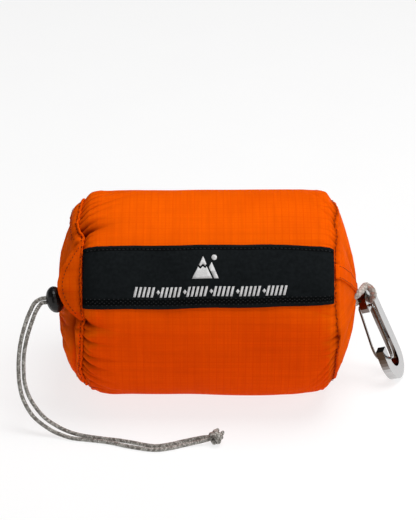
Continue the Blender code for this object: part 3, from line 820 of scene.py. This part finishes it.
def mouth_gather(mat):
    """The cloth that closes the mouth, drawn into folds that meet in the middle."""
    angles = np.arange(0, 360, 1.0)
    s, a = crossed(np.linspace(0, 1, 70), angles)
    along, x, r = along_outline(COVER, s)
    rad = np.radians(a)
    swirl = rad + 0.9 * s ** 2
    pleat = (np.abs(np.sin(8.5 * swirl + 0.8 * np.sin(3 * rad))) ** 0.7
             + 0.5 * np.abs(np.sin(17 * swirl + np.sin(5 * rad))) ** 0.8)
    deep = unit(s * 2.4 - 0.25) * unit((r - 2) / 18)
    slack = bell(apart(a, -30), 27) * np.sin(math.pi * unit(s / 0.42))
    x = x + 3.2 * deep * (1.0 - pleat) - 2.2 * slack
    r = (r - 0.8 * deep * pleat) - low_corner(MOUTH_X, a) * r / END_R + 1.6 * slack
    lay = np.stack([along, rad * 46], -1)
    # Painted shade: a little over all, in the pleats, along the hem and in the pocket below the lock.
    pocket = bell(apart(a, 2), 13) * bell(s, 0.28)
    painted_shade = 0.04 + 0.3 * deep * (1.0 - pleat) + 0.45 * bell(s, 0.07) + 0.75 * pocket
    return grid("mouth_gather", on_sack(x, r, a), lay, mat, wrap=True, painted_shade=painted_shade)


def label(mat):
    along = np.linspace(LABEL_LOW.x - 0.9, LABEL_HIGH.x, 120)
    s, t = crossed(along, np.linspace(-1, 1, 44))
    across = t * LABEL_WIDTH / 2
    obj = grid("label_cloth", label_point(s, across, 0.0), np.stack([s, across], -1), mat)
    thicken(obj, LABEL_THICK, 1.0)
    return obj


def label_point(x, across, proud):
    """A point on the label: across is in millimetres up from its middle line."""
    ripple = 0.2 * np.sin(x * 0.11 + 1.2) * np.cos(across * 0.12) + 0.12 * np.sin(x * 0.31 + across * 0.2)
    sway = 0.35 * np.sin(x * 0.045) + 0.2 * np.sin(x * 0.13 + 2)
    low_edge = (2.5 * unit((x - 30) / 50) ** 1.5 - 1.0 * unit(-x / 80)) * unit(-across / 20)
    top_edge = (1.0 - 1.1 * (x / 80) ** 2) * unit(across / 20)
    a = np.radians(LABEL_ANGLE) + (across + sway + low_edge + top_edge) / R_SACK
    rim = 0.12 * unit((np.abs(across) - 18.2) / 1.2)
    r = curve_at(TUBE, x) + 0.9 + ripple + rim + proud
    return np.stack([x + 0 * a, -r * np.cos(a), AXIS_Z + r * np.sin(a)], -1)


def printed(name, shapes, mat):
    """Thin raised print on the label: outlines in millimetres along and across it."""
    bm = bmesh.new()
    for shape in shapes:
        bm.faces.new([bm.verts.new((x, y, 0)) for x, y in shape])
    for axis, step in ((0, 3.0), (1, 1.5)):
        places = [v.co[axis] for v in bm.verts]
        for cut in np.arange(min(places) + step, max(places), step):
            point, normal = Vector(), Vector()
            point[axis], normal[axis] = cut, 1.0
            parts = bm.verts[:] + bm.edges[:] + bm.faces[:]
            bmesh.ops.bisect_plane(bm, geom=parts, plane_co=point, plane_no=normal)
    bmesh.ops.triangulate(bm, faces=bm.faces[:])
    for v in bm.verts:
        v.co = Vector(label_point(v.co.x, v.co.y, 0.16)) * MM
    obj = from_bmesh(name, bm, mat)
    thicken(obj, PRINT_THICK, 0.0)
    return obj


def emblem():
    """Two peaks and a sun."""
    cx, cy = -2.6, 5.6
    body = ((-8.3, -7), (-4.4, 0.3), (-3.0, -1.1), (-1.4, 0.5), (0.2, -0.9), (1.1, 0.3), (4.7, -7))
    cap = ((-3.8, 1.4), (-1.2, 6.9), (0.9, 1.8), (0.1, 0.7), (-1.4, 2.1), (-2.9, 0.4))
    second = ((6.0, -7), (2.5, -0.2), (4.3, 3.0), (8.8, -7))
    turns = [k * math.pi / 9 for k in range(18)]
    sun = [(5.9 + 1.75 * math.cos(t), 6.0 + 1.75 * math.sin(t)) for t in turns]
    return [[(cx + x, cy + y) for x, y in shape] for shape in (body, cap, second, sun)]


def stroke_row():
    """A plain row of slanted strokes, in fives with a diamond between them."""
    low, high, slant, wide, step, gap = -12.6, -6.4, 1.5, 1.5, 2.75, 3.15
    shapes, x, last = [], -48.4, 42
    for _ in range(6):
        for _ in range(5):
            shapes.append([(x, low), (x + wide, low), (x + wide + slant, high), (x + slant, high)])
            x += step
        if x < last:
            mid = (low + high) / 2
            shapes.append([(x + 1.1, mid), (x + 2.3, mid - 1.5), (x + 3.5, mid), (x + 2.3, mid + 1.5)])
        x += gap
    return shapes


def strap_point(run, side, proud):
    """A point on the base strap: run is its distance from the sack's axis, side that from its middle."""
    a = math.radians(STRAP_ANGLE)
    side = side * (0.78 + 0.22 * unit((run - 8) / 40))
    y = -(run * math.cos(a) - side * math.sin(a))
    z = AXIS_Z + run * math.sin(a) + side * math.cos(a)
    r = np.hypot(run, side)
    x = np.interp(-r, -BASE[:, 1], BASE[:, 0]) + proud + 0.25 * np.sin(run * 0.35)
    return np.stack([x, y, z], -1)


def strap(mat):
    run, t = crossed(np.linspace(62.0, 9.0, 60), np.linspace(-1, 1, 11))
    side = t * STRAP_HALF
    tuck = 1.5 * unit((run - 59.5) / 2.5) ** 2
    obj = grid("strap_cloth", strap_point(run, side, 0.75 - tuck), np.stack([run, side], -1), mat)
    thicken(obj, STRAP_THICK, 0.0)
    return obj


def stitches(name, path, normals, mat, pitch, share, radius, sway=0.0):
    """Thread along a path: a short rounded stitch at each pitch, lying proud of the cloth."""
    path, normals = np.asarray(path, float), np.asarray(normals, float)
    far = distances(path)
    rng = np.random.default_rng(4)
    bm = bmesh.new()
    for i in range(int(far[-1] / pitch)):
        ends = [pitch * (i + 0.5 - share / 2), pitch * (i + 0.5 + share / 2)]
        a, b, n = (Vector([np.interp(w, far, src[:, k]) for k in range(3)])
                   for w, src in ((ends[0], path), (ends[1], path), (sum(ends) / 2, normals)))
        side = n.cross(b - a).normalized()
        shift = side * (sway * (-1) ** i + rng.uniform(-0.08, 0.08))
        along = (b - a).normalized()
        centre = (a + b) / 2 + shift + n * radius * 0.25
        made = bmesh.ops.create_icosphere(bm, subdivisions=1, radius=1.0)["verts"]
        place = Matrix((along, side, along.cross(side))).transposed().to_4x4()
        size = Matrix.Diagonal(((b - a).length / 2, radius, radius * 0.8, 1.0))
        whole = Matrix.Scale(MM, 4) @ Matrix.Translation(centre) @ place @ size
        bmesh.ops.transform(bm, verts=made, matrix=whole)
    return from_bmesh(name, bm, mat)


def tube(name, path, radius, mat, sides=18, pitch=1.5, turns=4, relief=0.13, taper=False):
    """A braided cord along an even path: the crossing strands stand out of its surface."""
    path = np.asarray(path, float)
    tangent = np.gradient(path, axis=0)
    tangent /= np.linalg.norm(tangent, axis=1)[:, None]
    far = distances(path)
    side = np.cross(tangent[0], (0.0, 0.0, 1.0) if abs(tangent[0][2]) < 0.9 else (0.0, 1.0, 0.0))
    frames = []
    for t in tangent:
        side = side - t * side.dot(t)
        side /= np.linalg.norm(side)
        frames.append((side, np.cross(t, side)))
    frames = np.array(frames)
    v = np.arange(sides) / sides
    run = far[:, None] / pitch
    one, two = np.cos(2 * math.pi * (run + turns * v)), np.cos(2 * math.pi * (run - turns * v))
    r = radius + relief * (0.9 * one * two + 0.25 * one) - relief * 0.2
    if taper:
        r = r * np.sqrt(unit((far[-1] - far) / radius + 0.12))[:, None]
    spots = (path[:, None] + r[..., None] * (np.cos(2 * math.pi * v)[None, :, None] * frames[:, None, 0]
                                            + np.sin(2 * math.pi * v)[None, :, None] * frames[:, None, 1]))
    spots = np.concatenate([np.repeat(path[:1, None], sides, 1), spots, np.repeat(path[-1:, None], sides, 1)])
    u = np.concatenate([far[:1], far, far[-1:]])
    lay = np.stack(np.broadcast_arrays(u[:, None], v[None]), -1)
    obj = grid(name, spots, lay, mat, wrap=True)
    weld = obj.modifiers.new("weld", "WELD")
    weld.merge_threshold = 0.00001
    return obj


# Build -----------------

camera()
studio()

RIPSTOP, TAPE, STRAP = ripstop(), tape(), webbing()
# The thread is real; its dark brown colour is painted shade, standing for the shade in the stitch holes.
ORANGE_THREAD = thread("brown_thread", (0.05, 0.005, 0.0006), (0.24, 0.022, 0.0012))
RED_THREAD = thread("dark_red_thread", (0.08, 0.003, 0.0005), (0.3, 0.014, 0.001))
BLACK_THREAD = thread("black_thread", (0.004, 0.004, 0.0045), (0.03, 0.033, 0.035))
CORD = braid("grey_braid", (srgb(82, 79, 73), srgb(212, 210, 203)), srgb(64, 49, 38), 1.5, 4, 0.84)
ROPE = braid("pale_braid", (srgb(132, 124, 117), srgb(212, 205, 197)), srgb(150, 98, 78), 3.0, 4, 0.8)
PLASTIC, INK, INNER = satin_plastic(), print_ink(), inner_cloth()
STEEL_TINT = (0.6, 0.6, 0.6)
BRIGHT = ((0.89, -0.3, 0.34), (-0.89, 0.3, -0.34), (-0.05, -0.5, -0.86))
CHROME = chrome("polished_steel", STEEL_TINT, BRIGHT)
STEEL = chrome("spring_wire", STEEL_TINT)


def sewn(obj, slot, *nodes):
    """The piece goes with the sack, and stands for these CAD nodes."""
    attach(obj, "sack")
    if nodes:
        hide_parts(*nodes)
    return obj


def outward(angles, lean=0.0):
    """Directions away from the axis, leaning along it."""
    a = np.radians(angles)
    return np.stack([np.full_like(a, lean), -np.cos(a), np.sin(a)], -1)


skin = sewn(sack_skin(RIPSTOP), "orange_cloth", "sack_tube")
base = sewn(base_skin(RIPSTOP), "orange_cloth", "base_panel")
hem = sewn(hem_band(RIPSTOP), "orange_cloth", "mouth_hem")
flap = sewn(mouth_flap(RIPSTOP), "orange_cloth", "mouth_flap")
gather = sewn(mouth_gather(RIPSTOP), "orange_cloth", "mouth_cover")
label_piece = sewn(label(TAPE), "black_tape", "label_tape")
strap_piece = sewn(strap(STRAP), "orange_cloth", "base_strap")
for name, shapes in (("label_emblem", emblem()), ("label_strokes", stroke_row())):
    sewn(printed(name, shapes, INK), "black_tape")


def welt(name, x, r, angle, size):
    """The turned edge of a seam: a thin uneven roll of cloth that stands along it."""
    rough = 0.22 * np.sin(np.radians(angle * 67)) + 0.16 * np.sin(np.radians(angle * 113 + 50))
    path = on_sack(x + 0.5 * rough, r + 0.6 * rough, angle)
    obj = tube(name, path, size, RIPSTOP, 8, 5.0, 1, 0.15)
    # Painted shade: an even light darkening over the welt.
    mark_painted_shade(obj.data, np.full(len(obj.data.vertices), 0.12))
    return sewn(obj, "orange_cloth")


def sew_round(name, x, r, angle, lean, colour, pitch=2.5, share=0.62, radius=0.3, sway=0.0):
    """Stitches along a line round the sack, leaning along its axis."""
    path, normals = on_sack(x, r, angle), outward(angle, lean)
    sewn(stitches("thread_" + name, path, normals, colour, pitch, share, radius, sway), "orange_cloth")


def seam_threads():
    whole = np.arange(0, 360.6, 0.5)
    x, r = mouth_seam(whole)
    welt("welt_mouth", x - 0.2, r + 0.55, whole, 0.75)
    _, r = hem_place(np.full_like(whole, 0.2), whole)
    sew_round("mouth_seam", x - 1.5, r + 0.35, whole, -0.3, ORANGE_THREAD, sway=0.1)
    x, r = base_seam(whole)
    sew_round("base_seam", x, r + 0.5, whole, 0.5, RED_THREAD, 2.9, 0.55, 0.29, 0.3)
    run = np.arange(62, 296, 0.5)
    x, r = hem_place(np.full_like(run, 0.82), run)
    sew_round("hem", x - 0.1, r + 0.3, run, -0.8, ORANGE_THREAD, radius=0.28)
    run = np.arange(12.5, 54, 0.4)
    x, _ = flap_place(np.full_like(run, 1.0), run)
    seam_x, _ = mouth_seam(run)
    s = np.clip(1 - 3.3 / np.maximum(seam_x - x, 3.4), 0.02, 1)
    x, r = flap_place(s, run)
    sew_round("flap", x, r + 0.1, run, 0.0, ORANGE_THREAD)
    run = np.arange(9.5, 57.5, 0.4)
    x, r = flap_place(np.full_like(run, 0.06), run)
    sew_round("flap_root", x, r + 0.1, run, 0.0, ORANGE_THREAD)


def label_threads():
    x = np.arange(LABEL_LOW.x + 1.2, LABEL_HIGH.x - 1.0, 0.5)
    rows = (("top", 17.5, 2.6, 0.0), ("low_a", -14.6, 1.5, 0.75), ("low_b", -16.9, 1.5, 0.75))
    for name, across, pitch, sway in rows:
        path = label_point(x, np.full_like(x, across), 0.12)
        normals = outward(np.full_like(x, LABEL_ANGLE + math.degrees(across / R_SACK)))
        made = stitches("thread_label_" + name, path, normals, BLACK_THREAD, pitch, 0.8, 0.3, sway)
        sewn(made, "black_tape")


def strap_threads():
    run = np.arange(61.0, 10, -0.5)
    for name, side in (("a", 3.8), ("b", -3.8)):
        path = strap_point(run, np.full_like(run, side), 1.1)
        normals = np.tile((0.8, -0.5, 0.3), (len(run), 1))
        made = stitches("thread_strap_" + name, path, normals, ORANGE_THREAD, 2.2, 0.75, 0.24)
        sewn(made, "orange_cloth")


seam_threads()
label_threads()
strap_threads()


def lock_point(x, y, z):
    return tuple(LOCK_AT + LOCK_TURN @ Vector((x, y, z)))


def channel(x, r, angle):
    """A point inside the hem's channel."""
    a = math.radians(angle)
    return (x, -r * math.cos(a), AXIS_Z + r * math.sin(a))


def tails():
    """The drawcord's ends, out of the hem and through the lock to the knot."""
    starts = (((-85.0, 56.6, 39.8), (-86.2, 55.8, 35.5), (-88.8, 53.8, 30.0)),
              ((-82.2, 55.5, 2.0), (-82.2, 54.8, 10.5), (-83.8, 53.2, 16.4), (-86.9, 51.4, 20.2)))
    made = []
    for letter, start, z, route, last in zip("ab", starts, STRAND_Z, (TAIL_A, TAIL_B), INTO_KNOT):
        inside = [lock_point(x, 0.0, z) for x in (8.6, 6.0, 2.0, -2.0, -6.0, -9.2)]
        out = [channel(*spot) for spot in start]
        path = even(spline([*out, *inside, *route, last], 6), 0.5)
        obj = sewn(tube("cord_tail_" + letter, path, CORD_R, CORD), "grey_cord", "drawcord_tail_" + letter)
        made.append((obj, path))
    return made


def knot():
    """A knot tied in both cords together: their turns wrap round the strands that pass through."""
    low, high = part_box("drawcord_knot")
    middle = (low + high) / 2 / MM + Vector((-0.2, -1.2, 0.35))
    tilt = Matrix.Rotation(math.radians(28), 3, "Z") @ Matrix.Rotation(math.radians(-22), 3, "Y")
    made = []
    for turns, size, start, way in ((2.15, 3.2, 200.0, 1), (1.1, 3.45, 20.0, -1.6)):
        points, steps = [], turns * 20
        for i in range(int(steps) + 1):
            share = i / steps
            turn = math.radians(start) + 2 * math.pi * turns * share
            r = size * (1 - 0.75 * max(0.0, abs(2 * share - 1) - 0.8) / 0.2)
            along = (share - 0.5) * 2.75 * turns * way
            points.append(middle + tilt @ Vector((along, r * math.cos(turn), r * math.sin(turn))))
        made.append(even(points, 0.5))
    return made


def channel_cord():
    """The drawcord's run inside the hem."""
    a = np.arange(40.5, 362.1, 0.6)
    x, r = hem_place(np.full_like(a, 0.5), a)
    steady = np.convolve(np.pad(r, 12, "edge"), np.ones(25) / 25, "valid")
    path = on_sack(x + 0.8, np.minimum(steady - 3.6, 55.6), a)
    return sewn(tube("cord_in_hem", path, CORD_R, CORD), "grey_cord", "drawcord_loop")


channel_cord()
tail_pieces = tails()
knot_parts = [sewn(tube("knot_turns_" + letter, path, CORD_R * 1.15, CORD), "grey_cord")
              for letter, path in zip("ab", knot())]
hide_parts("drawcord_knot")
for letter, route in zip("ab", (END_A, END_B)):
    cut_end = tube("cord_end_" + letter, even(spline(route, 8), 0.4), CORD_R, CORD, taper=True)
    sewn(cut_end, "grey_cord", "drawcord_end_" + letter)


def hang_frame():
    """The frame of the bar that the rope loop goes round."""
    joint = next(j for j in frame["joints"] if j["name"] == "carabiner_swing")
    lean = Matrix.Rotation(math.radians(-HANG_LEAN), 4, "Y")
    twist = Matrix.Rotation(math.radians(HANG_TWIST), 4, "Z")
    return Matrix.Translation(Vector(joint["pos_m"]) / MM) @ (lean @ twist)


def rope_loop():
    """The loop that the carabiner hangs on: out from under the strap, over and round the bar, and back in."""
    place = hang_frame()
    arc = []
    for i in range(19):
        angle = math.radians(62.0 - 184.0 * i / 18)
        arc.append(place @ Vector((0.0, -LOOP_R * math.cos(angle), LOOP_R * math.sin(angle))))
    start = [Vector(p) for p in ((94.8, -13.4, 68.4), (97.6, -12.2, 69.6), (100.6, -8.6, 70.8))]
    back = [Vector(p) for p in ((98.6, -2.6, 60.2), (97.4, -7.0, 61.4), (96.0, -10.6, 63.6))]
    obj = tube("rope_loop_braid", even(spline([*start, *arc, *back], 6), 0.5), ROPE_R, ROPE, 22, 3.0, 4, 0.2)
    return sewn(obj, "pale_rope", "rope_loop")


rope_loop()

# Materials of the CAD pieces that show or lie inside
KEPT = {"cord_lock_body": PLASTIC, "cord_lock_plunger": PLASTIC, "cord_lock_spring": STEEL,
        "carabiner_body": CHROME, "carabiner_gate": CHROME, "spare_carabiner_body": CHROME,
        "spare_carabiner_gate": CHROME, "hammock_roll": INNER,
        "suspension_rope_a": ROPE, "suspension_rope_b": ROPE, "gather_loop_a": ROPE, "gather_loop_b": ROPE}
for node, mat in KEPT.items():
    data = frame["nodes"][node].data
    data.materials.clear()
    data.materials.append(mat)

sides = (-FLOOR_HALF, FLOOR_HALF)
floor = grid("floor", np.array([[(x, y, 0.0) for x in sides] for y in sides]), np.zeros((2, 2, 2)), paper())
